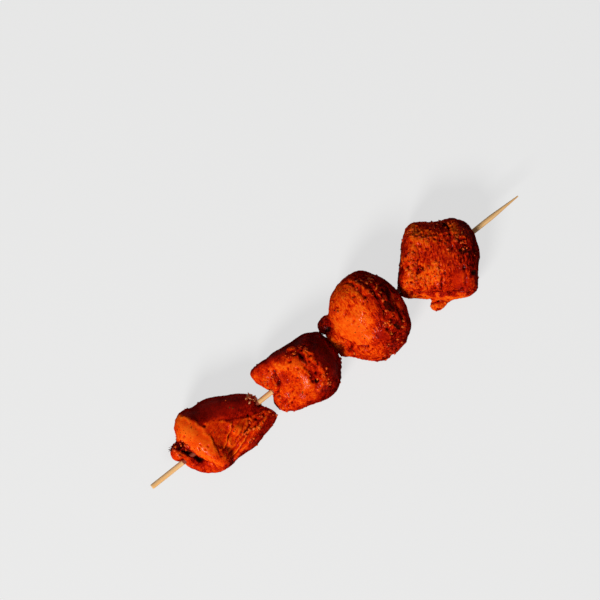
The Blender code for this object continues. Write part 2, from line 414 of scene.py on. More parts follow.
def carve(chunk, points, local, top, rough, smooth):  # how far each point moves along its normal, in mm
    seed = chunk["seed"]
    waver = drift(local, skin["grainWaverSize"], seed + skin["grainWaverStep"]) * skin["grainWaver"]
    grain = turned(local + waver, chunk["grainTurn"])
    wide = 1 - np.abs(layer(grain, skin["wideFibre"], seed + skin["wideStep"])) * 2
    fine = 1 - np.abs(layer(grain, skin["fineFibre"], seed + skin["fineStep"])) * 2
    bits = layer(local, skin["bitSize"], seed + skin["bitStep"])
    bits += skin["smallBitShare"] * layer(local, skin["smallBitSize"], seed + skin["smallBitStep"])
    grit = layer(local, skin["gritSize"], seed + skin["gritStep"])
    texture = chunk["fibres"] * (skin["wideShare"] * wide + skin["fineShare"] * fine)
    texture += chunk["crumble"] * bits * (skin["crumbleAll"] + rough) + chunk["grit"] * grit
    move = layer(local, skin["lumpSize"], seed + skin["lumpStep"]) * chunk["lumps"]
    move += texture * (1 - skin["calming"] * smooth)
    wavy = local + drift(local, skin["lineWaverSize"], seed + skin["lineWaverStep"]) * skin["lineWaver"]
    move += (strokes(wavy, chunk["ridges"]) - strokes(wavy, chunk["creases"])) * top
    draws = np.random.default_rng(seed)
    move -= dotted(points, chunk["pits"], skin["pit"], draws, rough, smooth)
    move += dotted(points, chunk["nodules"], skin["nodule"], draws, rough, smooth)
    return move


coat = {
    "hollowReach": 14,  # rounds of spreading
    "warpSize": 3.5, "warpStep": 14,
    "sideTone": 0.38, "sideRange": 0.3, "sideSize": 8, "sideStep": 9,
    # runsDown carries the top's painted light and shade down the sides, so that sides facing the key light
    # are painted lit.
    "runsDown": (-0.5, 0.15),  # the top's tones reach down to sides that face this way
    "wet": 0.35, "wetRange": 0.5, "wetSize": 5, "wetStep": 11, "wetOnSmooth": 0.5, "wetOnSides": 0.5,
    "shredHeight": (11, 15),
}


# The tone painted here holds painted light and painted shade as well as the meat's own colour.
def paintCoatAndLight(mesh, chunk, points, edges, local, top, rough, smooth):  # what the materials and crumbs read
    seed = chunk["seed"]
    normals = pull(mesh, points)
    hollow = np.einsum("ij,ij->i", spread(points, edges, coat["hollowReach"]) - points, normals)
    warp = drift(local, coat["warpSize"], seed + coat["warpStep"]) * chunk["warp"]
    # Painted light and painted shade: the chunk's areas and dabs paint lit faces orange and the far sides
    # dark red, over the meat's own tones.
    seen = painted(local + warp, chunk["tone"], chunk["toneAndLightAreas"], chunk["toneAndLightDabs"])
    side = coat["sideTone"] + coat["sideRange"] * layer(local, coat["sideSize"], seed + coat["sideStep"])
    over = ease(*coat["runsDown"], normals[:, 2])
    wet = coat["wet"] + coat["wetRange"] * layer(local, coat["wetSize"], seed + coat["wetStep"])
    wet = np.clip(wet + coat["wetOnSmooth"] * smooth, 0, 1)
    values = {
        "cut": seen * over + side * (1 - over),
        "hollow": hollow,
        # charAndShadeSpots mark char, and also painted shade in slits and holes.
        "char": inSpots(local, chunk["charAndShadeSpots"]) * top,
        "wet": wet * (coat["wetOnSides"] + (1 - coat["wetOnSides"]) * top),
        "crumby": rough,
        "torn": inSpots(local, chunk["tornSpots"]) * top,
        "shredded": inSpots(local, chunk.get("shredSpots", [])) * ease(*coat["shredHeight"], points[:, 2]),
        "twiggy": inSpots(local, chunk.get("twigSpots", [])) * top,
        "calm": smooth,
    }
    for name, value in values.items():
        mesh.attributes.new(name, "FLOAT", "POINT").data.foreach_set("value", value.astype(np.float32))


def chickenChunk(node, chunk):
    mesh = solidMeat(node)
    points, edges = readMesh(mesh)
    low, high = [np.array(corner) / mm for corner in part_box(node)]
    centre = np.array([(low[0] + high[0]) / 2, (low[1] + high[1]) / 2, 0])
    onFloor = points[:, 2] < skin["floorBand"]
    points = spread(points, edges, meatMesh["relax"])
    points = fillHollows(mesh, points, edges, inSpots(asSeen(points, centre), chunk["fills"]))
    local = asSeen(points, centre)
    normals = pull(mesh, points)
    top = ease(*skin["topFrom"], normals[:, 2])
    rough = np.clip(inSpots(local, chunk["roughSpots"]) * top + (1 - top) * skin["sideRoughness"], 0, 1)
    smooth = inSpots(local, chunk["smoothSpots"]) * top
    fromStick = np.hypot(points[:, 1] - stickCentre.y / mm, points[:, 2] - stickCentre.z / mm)
    move = carve(chunk, points, local, top, rough, smooth)
    move -= skin["socketDepth"] * ease(*skin["socket"], fromStick)
    move *= 1 - onFloor
    points = np.clip(points + normals * move[:, None], low, high)
    if "pressed" in chunk:
        points[:, 0] = pressed(points, low[0], high[0], *chunk["pressed"])
    points[onFloor, 2] = 0
    paintCoatAndLight(mesh, chunk, points, edges, local, top, rough, smooth)
    mesh.shade_smooth()
    mesh.materials.clear()
    mesh.materials.append(chickenFinish(node + "_marinade", chunk["grainTurn"], chunk["streaks"]))
    print(node, "carved:", len(points), "points")
    return newObject(node + "_meat", mesh)


# Places in the chunks' dictionaries are mm from the middle of the chunk's box, as the camera sees them.
# Creases and ridges: width, depth, path. Spots: x, y, half length, half width, turn in degrees.
# toneAndLightAreas: tone, softness, outline. toneAndLightDabs: tone, then a spot. Both put painted light and
# painted shade into the tone over the meat's own tones. Pressed: the side, 1 or -1, and the reach.
chunks = {
    "chicken_chunk_1": {
        # Chunk 1's base tone paints its back dark, as painted shade away from the key light.
        "seed": 11, "grainTurn": 17, "lumps": 0.30, "grit": 0.05, "fibres": 0.12, "crumble": 0.09,
        "streaks": 0.5, "pits": 150, "nodules": 120, "warp": 0.7, "tone": 0.32,
        "fills": [(-2, 12, 8, 8, 0), (-20, 6, 4, 3, 0), (2, -5, 9, 7, 0)],
        "tornSpots": [(-20, 5, 2, 2, 0), (18, -10, 6, 2.4, 15), (25, -8, 2.5, 3, 0)],
        "shredSpots": [(21.8, 1.6, 2.4, 1.9, -20)], "twigSpots": [(-24.4, 6, 1.6, 1.2, 0)],
        "creases": [
            (0.9, 2.0, [(-20, 2), (-18.2, -1), (-16.4, -6), (-14.8, -10), (-13, -13)]),
            (0.7, 0.6, [(-4.4, -1), (-4.8, -6), (-6.5, -11)]),
            (0.7, 0.5, [(-4, -9.6), (1, -6.4), (7, -3.4)]),
            (0.7, 0.7, [(-4, -13.2), (5, -11.4), (13, -8), (16, -3.4)]),
            (0.45, 0.45, [(3, -9.8), (9, -7.2), (13, -4.8)]),
            (0.45, 0.4, [(8, -9.8), (14, -7.8), (20, -6.4)]),
            (0.45, 0.5, [(-1, -14.9), (7, -12.6), (13, -9.6)]), (0.4, 0.35, [(14, -10.6), (21, -9)]),
            (0.8, 0.8, [(-4, -15.6), (6, -13.8), (15, -10), (22, -8)]),
            (0.7, 0.5, [(4, 3.4), (8, -0.6), (15, -3.4), (22, -6)]),
            (0.6, 0.8, [(-16, 2.5)]), (0.7, 0.7, [(-14.7, 7.8)]), (0.5, 0.7, [(-13, -1.3)]),
            (0.5, 0.6, [(-11, -0.8)]), (0.5, 0.6, [(-8.5, -3.2)]), (0.8, 0.8, [(-4, 5.8)]),
            (0.5, 0.5, [(-10.5, -3.5)]), (1.6, 1.2, [(-20.5, 4.5), (-18.5, 5.5)]),
        ],
        "ridges": [
            (1.2, 0.6, [(-10.5, 17), (-7, 11), (-5.4, 5), (-5.2, -2)]),
            (0.7, 1.0, [(-4, -8.4), (2, -4.6), (7, -1.6)]),
            (2.2, 1.2, [(6, -5), (8, -6)]), (1.8, 1.0, [(0, -8.2)]), (1.0, 0.7, [(-3, -11.4)]),
            (0.7, 0.6, [(-4, -14.4), (5, -12.6), (13, -9)]), (1.4, 0.5, [(13, -11.6), (20, -9.5)]),
        ],
        "roughSpots": [(-20, 5, 5, 5, 0), (14, -10, 9, 5, 15), (25, -8, 5, 5, 0), (22, 2, 4, 3, 0)],
        "smoothSpots": [(-10, 5, 6, 12, 8), (8, 10, 18, 7, -22)],
        # Areas: the last is the lit end face of the block, painted light; the fold and the tab are partly
        # their own tone and partly painted light.
        "toneAndLightAreas": [
            (0.68, 1.0, [(-4.5, 6.5), (1, 5.5), (5, 2.5), (8, -1), (14, -3.5), (22, -6), (25, -9), (16, -13),
                         (5, -16.5), (-6, -16.5), (-8, -12)]),
            (0.58, 1.2, [(-27, 5), (-24, 6.5), (-20, 2), (-18, -4), (-14, -11), (-10, -15), (-10, -19),
                         (-17, -15), (-23, -7), (-28, 0)]),
            (0.83, 0.9, [(-19.5, 9), (-17, 15), (-13, 18.5), (-9.5, 16.5), (-7.4, 12), (-5.6, 8), (-4.9, 3),
                         (-4.8, -4), (-6, -10), (-9, -16), (-14, -12), (-15, -7), (-15.5, -1), (-18, 4)]),
        ],
        # Dabs: a painted highlight at (-12, 8); the dab at (0, -18) makes the low edge darker.
        "toneAndLightDabs": [
            (0.92, -12, 8, 3.5, 4, 0), (0.66, -8, -11, 3, 3.5, 0), (0.76, 7, -5.5, 3.5, 2.5, -20),
            (0.74, 0, -8.4, 2.4, 1.8, 0), (0.12, -20, 5, 2.6, 2.4, 0), (0.3, -18.6, -5, 1.4, 4, 20),
            (0.6, -23.5, -3.5, 2, 3, 0), (0.45, 18, -8, 5, 2, 15), (0.25, 0, -18, 9, 1.4, 0),
        ],
        # Char spots: painted shade in the slit, and the low edge made darker.
        "charAndShadeSpots": [(-18, 1, 1.2, 3, 15), (-6, -17.4, 2.5, 1, 0)],
    },
    "chicken_chunk_2": {
        # Chunk 2's base tone paints its right side dark, as painted shade away from the key light.
        "seed": 23, "grainTurn": 64, "lumps": 0.45, "grit": 0.06, "fibres": 0.11, "crumble": 0.11,
        "streaks": 0.7, "pits": 240, "nodules": 200, "warp": 1.3, "tone": 0.14,
        "fills": [(-14, -6, 6, 8, 0), (-12, 11, 6, 6, 0)], "pressed": (1, 3.5),
        "tornSpots": [(5, 12, 3, 1.5, 0), (9, 5, 2, 4, 0)],
        "creases": [
            (0.9, 1.3, [(-15, 0.8), (-12.4, 2), (-11, 5), (-10.6, 8.6)]),
            (0.9, 1.0, [(-10, 10)]), (0.9, 1.1, [(-0.6, 8.8)]), (1.2, 1.7, [(4, -7)]),
            (0.9, 1.0, [(2.2, -6)]),
            (1.3, 1.0, [(5.4, 7.6)]), (0.8, 0.8, [(3.6, 2)]), (0.7, 0.8, [(0.4, 4)]),
            (0.7, 0.8, [(-12.6, -7.6)]),
            (0.7, 0.7, [(-15.4, -1.6)]), (0.6, 0.6, [(-3, 6.6)]), (0.7, 0.7, [(-8.4, -3.6)]),
            (0.9, 0.8, [(5, 9.5), (6, 6), (4.8, 1), (4, -4)]), (0.9, 0.7, [(19, 8), (19.6, 0), (18.6, -8)]),
        ],
        "ridges": [
            (1.1, 0.7, [(3, 13), (5, 12.6)]), (1.0, 0.8, [(7, 6), (8.6, 8.6), (9.6, 5), (9, 2)]),
            (1.0, 0.7, [(9.6, -1), (9, -5), (6.6, -9), (2, -11)]), (1.6, 0.6, [(-15, 9)]),
            (1.8, 0.4, [(-8, -7)]),
        ],
        "roughSpots": [(7, 0, 5, 13, 0), (-15, -6, 5, 5, 0), (-14, 7, 4, 6, 0), (3, 12, 5, 2.5, 0)],
        "smoothSpots": [(16, -1, 6, 14, 0), (0, 15.6, 18, 2.4, -5)],
        # Areas: the lit front face and flap are painted lighter, painted light over the meat's own tone.
        "toneAndLightAreas": [
            (0.34, 2.0, [(-22, 18), (-6, 16), (6, 14), (12, 12), (13, 0), (12, -9), (4, -16), (-6, -15),
                         (-20, -11), (-22, 0)]),
            (0.52, 1.6, [(-21, 16), (-12, 15), (-2, 12.4), (4, 10), (9, 9), (11, 2), (10, -6), (4, -12),
                         (-2, -15), (-12, -12), (-20, -9), (-20, -3), (-22, 10)]),
            (0.70, 1.8, [(-10, 12.4), (-3, 11.4), (2, 9), (4, 5), (3.4, 0), (0.6, -4), (1.4, -9), (-2, -13),
                         (-10, -11.4), (-18, -8), (-18.6, -4), (-15, 0), (-10.6, 2), (-9, 6)]),
            (0.68, 1.2, [(-20.4, 12), (-17, 14), (-13, 12), (-12.4, 8), (-13, 3), (-16, 1), (-19, 5)]),
        ],
        # Dabs: a painted highlight at (-5.5, 8), and painted shade in the holes at (5, 7.6) and (3.6, -5.6)
        # and beside the flap at (-11, 5.5).
        "toneAndLightDabs": [
            (0.86, -5.5, 8, 3.5, 1.8, -25), (0.78, -1, -5, 3, 3, 0), (0.76, -12, -4, 4, 3, 0),
            (0.54, -7, 3.6, 1.6, 3, 20), (0.55, -15, -6, 1.4, 2, 0), (0.58, -6, -6, 1.4, 2.4, 20),
            (0.6, -13, -8.4, 1.6, 1.6, 0), (0.62, -3, 1, 2.5, 1.5, 30), (0.2, 5, 7.6, 1.6, 2.4, 0),
            (0.7, 8.6, 5, 1.5, 3.4, 0), (0.68, 7.6, -6, 1.5, 3.6, -25), (0.66, 4, 12.6, 2.4, 1.2, 0),
            (0.3, 3.6, -5.6, 2.2, 2.2, 0), (0.3, -11, 5.5, 1.4, 3.4, 0), (0.45, -20, 16, 2, 1.5, 0),
        ],
        # Char spot: painted shade in the hole at (4, -7), with char.
        "charAndShadeSpots": [(4, -7, 1.4, 1.1, 0)],
    },
    "chicken_chunk_3": {
        # Chunk 3's base tone paints its right side dark, as painted shade away from the key light.
        "seed": 37, "grainTurn": 82, "lumps": 0.45, "grit": 0.06, "fibres": 0.18, "crumble": 0.10,
        "streaks": 1.3, "pits": 260, "nodules": 180, "warp": 1.5, "tone": 0.24,
        "fills": [(-17, 3, 5, 12, 0)], "pressed": (-1, 3.5),
        "tornSpots": [(13.5, 13, 2, 5, 0), (7, -8, 2.2, 5, -15)],
        "creases": [
            (0.8, 1.2, [(-14.6, 0), (-14, -4), (-12, -8.6), (-8, -11)]),
            (0.8, 0.9, [(4.6, -13), (6.4, -8), (8.4, -4), (9.6, -1.6)]),
            (0.8, 0.8, [(5, 19), (6, 14), (7, 9.6)]), (0.7, 0.7, [(9, 17), (11, 11), (11, 4), (9.6, 0)]),
            (0.9, 0.9, [(15.4, 6), (16, -2), (15, -9), (12, -14)]),
            (1.0, 1.0, [(6.6, 9)]), (0.6, 0.7, [(-7.2, 13)]), (0.7, 0.8, [(-6, 8.4)]),
            (0.7, 0.8, [(-5.4, 3)]),
            (0.8, 0.8, [(2.4, 12.6)]), (0.6, 0.7, [(1.4, 3)]), (0.7, 0.8, [(4, 7)]),
        ],
        "ridges": [
            (1.2, 0.6, [(-18, 2), (-18, -4), (-15, -9.5), (-9, -14)]),
            (1.0, 0.6, [(3, -15), (5.6, -10), (7.4, -6)]),
            (1.2, 0.6, [(18, 6), (18.4, -1), (17, -8), (13, -14)]), (0.9, 0.5, [(7.4, 18), (9, 12), (9, 6)]),
        ],
        "roughSpots": [(8, -8, 5, 8, 0), (7, 13, 4, 8, 0), (0, -19, 9, 3.5, 0), (13, 10, 3, 8, 0)],
        "smoothSpots": [(-8, 0, 5, 8, 0), (1.5, -11, 2, 3, 20)],
        # Areas: the lit face to the left is painted lighter in steps, painted light over the meat's own tone.
        "toneAndLightAreas": [
            (0.34, 2.2, [(-20, 10), (-14, 16), (0, 24), (8, 24), (12, 16), (12, 4), (10, -4), (12, -14),
                         (4, -24), (-10, -24), (-24, -8)]),
            (0.55, 2.0, [(-16, 14), (-8, 20), (2, 23), (8, 18), (9.6, 10), (8.6, 3), (4, -3), (2, -8),
                         (0, -14), (-4, -20), (-12, -17), (-20, -7), (-20, 2), (-16, 5)]),
            (0.74, 2.2, [(-14.4, 13), (-8, 18.4), (0, 21), (4, 19), (5.6, 13), (6, 8), (5, 3), (2.6, -1),
                         (0.4, -5), (-2, -9), (-8, -10.4), (-13, -9), (-14.2, -3), (-15, 4)]),
            (0.90, 2.4, [(-13, 8), (-6, 10), (0, 8), (2, 3), (0, -3), (-4, -8), (-10, -8.4), (-13.2, -3)]),
        ],
        # Dabs: the lobe at (-17.8, -2) is painted lit, and the dab at (-17.8, 11) is painted shade.
        "toneAndLightDabs": [
            (0.6, -11, 13.6, 2, 2.4, 0), (0.55, -2, 10, 1.6, 2.2, 0), (0.55, 2.4, 11, 1.2, 3, 0),
            (0.6, 4.4, 6, 1.4, 2.6, 0), (0.68, -6.4, 8.4, 1.4, 1.4, 0), (0.36, 2, -10.6, 2.4, 3.4, 20),
            (0.5, 6.4, -8, 1.4, 4.6, -15), (0.64, -7, -16, 4, 1.8, -28), (0.3, -14, -7, 1, 4, -15),
            (0.3, 14, 12, 2, 5, 0), (0.52, 17.8, -3, 1.3, 7, 8), (0.74, -17.8, -2, 2.6, 7, 0),
            (0.26, -17.8, 11, 3.2, 3, 0),
            (0.5, 11, -6, 0.9, 4, 15), (0.48, 12.6, 4, 0.9, 4, -5), (0.46, 9.6, 14, 1.0, 3.5, 12),
        ],
        "charAndShadeSpots": [(12.5, -2, 2, 4, 10), (-17, 7.5, 1.6, 1.2, 0), (10, -12, 1.6, 2, 0),
                      (-6, -21, 4, 1, 0)],
    },
    "chicken_chunk_4": {
        # Chunk 4's base tone paints its right side dark, as painted shade away from the key light.
        "seed": 51, "grainTurn": 55, "lumps": 0.45, "grit": 0.07, "fibres": 0.25, "crumble": 0.13,
        "streaks": 1.5, "pits": 320, "nodules": 280, "warp": 1.6, "tone": 0.17,
        "fills": [(-6, -12, 5, 3, 0)],
        "tornSpots": [(-12, -16.5, 4, 2.6, -20), (4, 13, 4, 3, 0), (-14, 6, 3, 3, 0), (14, 6, 4, 6, 0)],
        "creases": [
            (0.8, 1.4, [(-19.4, -4.2), (-12, -10.4), (-5, -15.4), (1, -18.4)]),
            (0.7, 0.6, [(-10, 3), (-6, 8), (-3, 13)]), (0.7, 0.6, [(-8, -13), (-3, -6), (0, -1)]),
            (0.7, 0.6, [(4, -17), (8, -11), (11, -6)]), (0.8, 0.7, [(8, 1), (13, 7), (15, 12)]),
            (0.8, 0.6, [(-8, 3)]), (1.0, 0.9, [(3, 14)]), (0.9, 0.9, [(-13, 7)]), (1.0, 0.8, [(0, 8.6)]),
            (1.0, 0.9, [(12, -2)]), (1.2, 1.1, [(10.6, -14.6)]), (0.9, 0.8, [(-2, 12)]),
            (1.0, 0.9, [(15, 2)]),
            (0.6, 1.2, [(-15.6, -13.2), (-11, -16), (-6, -18.8)]),
            (0.4, 0.35, [(-15, -5.4), (-13, -2.6)]), (0.45, 0.5, [(-12.6, -7.4), (-10, -3)]),
            (0.4, 0.3, [(-8.6, -8), (-7.4, -5.4)]), (0.45, 0.45, [(-6, -11), (-3.4, -6.6)]),
            (0.4, 0.4, [(-1, 16.6), (1.4, 19.4)]), (0.4, 0.3, [(1.6, 15), (3.2, 18)]),
        ],
        "ridges": [
            (1.1, 0.9, [(-21.4, -4.4), (-14, -11.6), (-7, -17), (1, -20.6)]),
            (1.4, 0.5, [(-12, 0), (-8, 1)]), (1.6, 0.5, [(-4, -1), (-1, 0)]), (1.0, 0.5, [(-3, 17), (2, 21)]),
        ],
        "roughSpots": [(-13, 6, 9, 4, 42), (3, 14, 8, 7, 0), (13, 6, 7, 9, 0), (12, -6, 6, 6, 0),
                       (-8, -1, 9, 6, 0), (-12, -17, 5, 3, 0)],
        "smoothSpots": [(-13, -12, 9, 1.4, -42), (3, -14, 4, 6, 0)],
        # Areas: the lit left and top faces and the rim band are painted lighter, as painted light; the dark
        # line between the rim and the torn bit is painted shade.
        "toneAndLightAreas": [
            (0.45, 2.2, [(-24, 0), (-12, 12), (-4, 22), (2, 24), (10, 20), (19, 12), (20, 0), (14, -6),
                         (9, -14), (8, -22), (-2, -22), (-12, -13)]),
            (0.54, 2.2, [(-23, 0), (-12, 11), (-6, 17), (-3, 22), (3, 22), (8, 15), (8, 9), (12, 4), (6, -4),
                         (0, -5), (-8, -8), (-16, -6)]),
            (0.85, 1.6, [(-22, 0), (-15, 6), (-8, 4), (-2, 3), (0, 0), (-1, -5), (-9, -7), (-18, -5)]),
            (0.78, 1.4, [(-7, 14), (-3, 21), (1, 22), (5, 18), (7, 13), (4, 11), (0, 14), (-4, 12)]),
            (0.36, 1.2, [(-20, -3), (-11, -9), (-4, -13.6), (3, -17.6), (3, -20), (-5, -17.4), (-12, -12),
                         (-20, -5)]),
            (0.86, 0.6, [(-24, -2), (-22.6, -3.2), (-19.6, -4.8), (-12, -11.6), (-5, -16.8), (3, -19.8),
                         (2, -23), (-8, -19.6), (-16, -13), (-24, -6)]),
            (0.84, 0.8, [(-16, -13), (-17, -18), (-8, -22), (-5, -19), (-10, -15)]),
        ],
        # Dabs: the lower right at (12, -11) is painted shade.
        "toneAndLightDabs": [
            (0.6, -15, -2, 3, 2, 30), (0.4, -6, -11, 4, 2.6, 50), (0.42, -10, 3, 2, 1.4, 0),
            (0.80, 2, 13, 4, 3.4, -30), (0.92, 0, 17.6, 2.2, 3.6, -30), (0.3, 13, -1, 3, 3.4, 0),
            (0.55, 16, 8, 2.4, 3.6, 0),
            (0.24, 12, -11, 3.4, 4.5, -20), (0.56, 3, -13, 3.4, 3, 0), (0.62, 7, 8, 2.6, 4, -20),
            (0.5, 4, 1, 3, 5, -30),
            (0.74, -10, 11, 2.4, 2.4, 0), (0.76, 16, 7, 1.8, 2.8, 0), (0.4, 11, 9, 1.0, 6, 40),
        ],
        # Char spots: char, and painted shade in the hole at (10.6, -15).
        "charAndShadeSpots": [(13, -3, 2.6, 2, 0), (10.6, -15, 1.8, 1.5, 0), (14, 12, 2, 2, 0)],
    },
}

meat = [chickenChunk(node, chunk) for node, chunk in chunks.items()]


def newTree(name, inputs):  # an empty geometry tree with named inputs
    tree = bpy.data.node_groups.new(name, "GeometryNodeTree")
    graph = Graph(tree)
    tree.interface.new_socket(name="Geometry", in_out="INPUT", socket_type="NodeSocketGeometry")
    tree.interface.new_socket(name="Geometry", in_out="OUTPUT", socket_type="NodeSocketGeometry")
    for label, value in inputs.items():
        kind = "NodeSocketInt" if isinstance(value, int) else "NodeSocketFloat"
        tree.interface.new_socket(name=label, in_out="INPUT", socket_type=kind)
    return tree, graph, graph.node("NodeGroupInput")


def endTree(graph, geometry, finish):
    smooth = graph.node("GeometryNodeSetShadeSmooth", {}, {"Geometry": geometry})
    whole = graph.node("GeometryNodeRealizeInstances", {}, {"Geometry": smooth})
    coloured = graph.node("GeometryNodeSetMaterial", {}, {"Geometry": whole, "Material": finish})
    graph.node("NodeGroupOutput", {}, {"Geometry": coloured})


def growPiece(name, base, tree, inputs):  # runs the tree on the base mesh and keeps a plain mesh
    maker = newObject(name + "_maker", base)
    modifier = maker.modifiers.new(name, "NODES")
    modifier.node_group = tree
    for item in tree.interface.items_tree:
        if item.in_out == "INPUT" and item.name in inputs:
            modifier[item.identifier] = inputs[item.name]
    mesh = plainMesh(maker, name)
    print(name, "grown:", len(mesh.polygons), "faces")
    return newObject(name, mesh)


def joinedMeat():  # all four chunks as one mesh, with what was painted on them
    build = bmesh.new()
    for piece in meat:
        build.from_mesh(piece.data)
    mesh = bpy.data.meshes.new("all_meat")
    build.to_mesh(mesh)
    build.free()
    return mesh


# Sizes are metres, densities are bits per square metre, clumps are mm, tilt is radians.
crumbKinds = {
    "marinade_crumbs": {
        "where": "crumby", "density": 260000.0, "elsewhere": 0.02, "clump": 4.0, "seed": 4, "tilt": 0.6,
        "smallest": 0.35 * mm, "largest": 1.5 * mm, "flatness": 0.65, "length": 1.2,
        "light": (0.82, 0.12, 0.008), "dark": (0.55, 0.022, 0.002), "roughness": 0.55, "shine": 0.1,
    },
    "golden_crumbs": {
        "where": "torn", "density": 240000.0, "elsewhere": 0.01, "clump": 3.0, "seed": 9, "tilt": 0.7,
        "smallest": 0.4 * mm, "largest": 1.5 * mm, "flatness": 0.5, "length": 1.5,
        "light": (0.86, 0.19, 0.012), "dark": (0.72, 0.07, 0.003), "roughness": 0.6, "shine": 0.1,
    },
    "dark_spice": {
        "where": "crumby", "density": 60000.0, "elsewhere": 0.5, "clump": 3.0, "seed": 14, "tilt": 0.4,
        "smallest": 0.22 * mm, "largest": 0.65 * mm, "flatness": 0.35, "length": 1.3,
        "light": (0.06, 0.012, 0.004), "dark": (0.02, 0.006, 0.003), "roughness": 0.6, "shine": 0.0,
    },
    "herb_flecks": {
        "where": "crumby", "density": 14000.0, "elsewhere": 0.5, "clump": 6.0, "seed": 21, "tilt": 0.5,
        "smallest": 0.4 * mm, "largest": 1.0 * mm, "flatness": 0.2, "length": 1.9,
        "light": (0.18, 0.050, 0.006), "dark": (0.07, 0.018, 0.003), "roughness": 0.6, "shine": 0.0,
    },
    "pale_shreds": {
        "where": "shredded", "density": 1900000.0, "elsewhere": 0.0, "clump": 1.4, "seed": 33, "tilt": 0.8,
        "smallest": 0.7 * mm, "largest": 1.7 * mm, "flatness": 0.5, "length": 1.9,
        "light": (0.95, 0.44, 0.20), "dark": (0.86, 0.20, 0.05), "roughness": 0.6, "shine": 0.0,
    },
    "burnt_twigs": {
        "where": "twiggy", "density": 1500000.0, "elsewhere": 0.0, "clump": 9.0, "seed": 36, "tilt": 1.3,
        "smallest": 0.3 * mm, "largest": 0.5 * mm, "flatness": 0.8, "length": 8.0,
        "light": (0.16, 0.012, 0.004), "dark": (0.04, 0.004, 0.002), "roughness": 0.6, "shine": 0.0,
    },
}
crumbShape = {
    "shapes": 3, "segments": 8, "rings": 5, "lumpScale": 1.6, "lumpStep": 3.7, "lumpDepth": 1.7,
    "whereEdge": (0.15, 0.9), "clumpEdge": (0.42, 0.62), "offFloor": (1.0 * mm, 3.0 * mm),
    "mottleSize": 1.3, "fineSize": 0.25, "bump": 0.08, "bumpStrength": 0.6, "roughnessRange": 0.2,  # mm
    "specular": 0.1, "coatRoughness": 0.25,
}


def crumbFinish(name, kind):
    c = crumbShape
    material, g = newFinish(name)
    place = g.node("ShaderNodeTexCoord", output="Object")
    mottle = g.noise(place, c["mottleSize"] * mm, seed=5, detail=3, roughness=0.6)
    fine = g.noise(place, c["fineSize"] * mm, seed=6)
    colour = g.mixColour(g.step(mottle, 0.35, 0.65), kind["dark"], kind["light"])
    roughness = kind["roughness"] + (fine - 0.5) * c["roughnessRange"]
    finishWith(g, {"Specular IOR Level": c["specular"], "Coat Weight": kind["shine"],
                   "Coat Roughness": c["coatRoughness"]},
               {"Base Color": colour, "Roughness": roughness,
                "Normal": g.bump(fine, c["bump"] * mm, c["bumpStrength"])})
    return material


def crumbShapes(g, length, flatness):  # a few lumpy bits to pick from
    c = crumbShape
    shapes = []
    for k in range(c["shapes"]):
        ball = g.node("GeometryNodeMeshUVSphere", {},
                      {"Segments": c["segments"], "Rings": c["rings"], "Radius": 0.5})
        lump = g.node("ShaderNodeTexNoise", {"noise_dimensions": "4D"},
                      {"Scale": c["lumpScale"], "W": c["lumpStep"] * k}, "Color")
        shift = g.node("ShaderNodeVectorMath", {"operation": "SUBTRACT"}, {0: lump, 1: (0.5, 0.5, 0.5)})
        shift = g.node("ShaderNodeVectorMath", {"operation": "SCALE"}, {0: shift, "Scale": c["lumpDepth"]})
        ball = g.node("GeometryNodeSetPosition", {}, {"Geometry": ball, "Offset": shift})
        size = g.node("ShaderNodeCombineXYZ", {}, {"X": length, "Y": 1.0, "Z": flatness})
        ball = g.node("GeometryNodeTransform", {}, {"Geometry": ball, "Scale": size})
        shapes.append(g.node("GeometryNodeGeometryToInstance", {}, {"Geometry": [ball]}))
    return g.node("GeometryNodeJoinGeometry", {}, {"Geometry": shapes})


def scatter(name, kind):  # bits strewn over the meat where the named attribute is high
    c = crumbShape
    inputs = {"Density": kind["density"], "Smallest": kind["smallest"], "Largest": kind["largest"],
              "Flatness": kind["flatness"], "Length": kind["length"], "Seed": kind["seed"]}
    tree, g, given = newTree(name, inputs)
    seed = given.other("Seed")
    mask = g.node("GeometryNodeInputNamedAttribute", {"data_type": "FLOAT"}, {"Name": kind["where"]})
    place = g.node("GeometryNodeInputPosition")
    clumps = g.noise(place, kind["clump"] * mm, seed, detail=1.0)
    share = g.step(mask, *c["whereEdge"], kind["elsewhere"], 1.0) * g.step(clumps, *c["clumpEdge"])
    height = g.node("ShaderNodeSeparateXYZ", {}, {"Vector": place}, "Z")
    share = share * g.step(height, *c["offFloor"])
    dots = g.node("GeometryNodeDistributePointsOnFaces", {},
                  {"Mesh": given, "Density": given.other("Density") * share, "Seed": seed})
    size = g.node("FunctionNodeRandomValue", {"data_type": "FLOAT"}, {2: 0.0, 3: 1.0, "Seed": seed}, 1)
    size = given.other("Smallest") + size * size * (given.other("Largest") - given.other("Smallest"))
    tilt = kind["tilt"]
    spin = g.node("FunctionNodeRandomValue", {"data_type": "FLOAT_VECTOR"},
                  {0: (-tilt, -tilt, 0.0), 1: (tilt, tilt, 6.28), "Seed": seed}, 0)
    turn = g.node("FunctionNodeEulerToRotation", {}, {"Euler": spin})
    turn = g.node("FunctionNodeRotateRotation", {"rotation_space": "LOCAL"},
                  {"Rotation": dots.other("Rotation"), "Rotate By": turn})
    pick = crumbShapes(g, given.other("Length"), given.other("Flatness"))
    strewn = g.node("GeometryNodeInstanceOnPoints", {},
                    {"Points": dots, "Instance": pick, "Pick Instance": True,
                     "Rotation": turn, "Scale": size})
    endTree(g, strewn, crumbFinish(name, kind))
    return growPiece(name, joinedMeat(), tree, inputs)


crumbs = [scatter(name, kind) for name, kind in crumbKinds.items()]


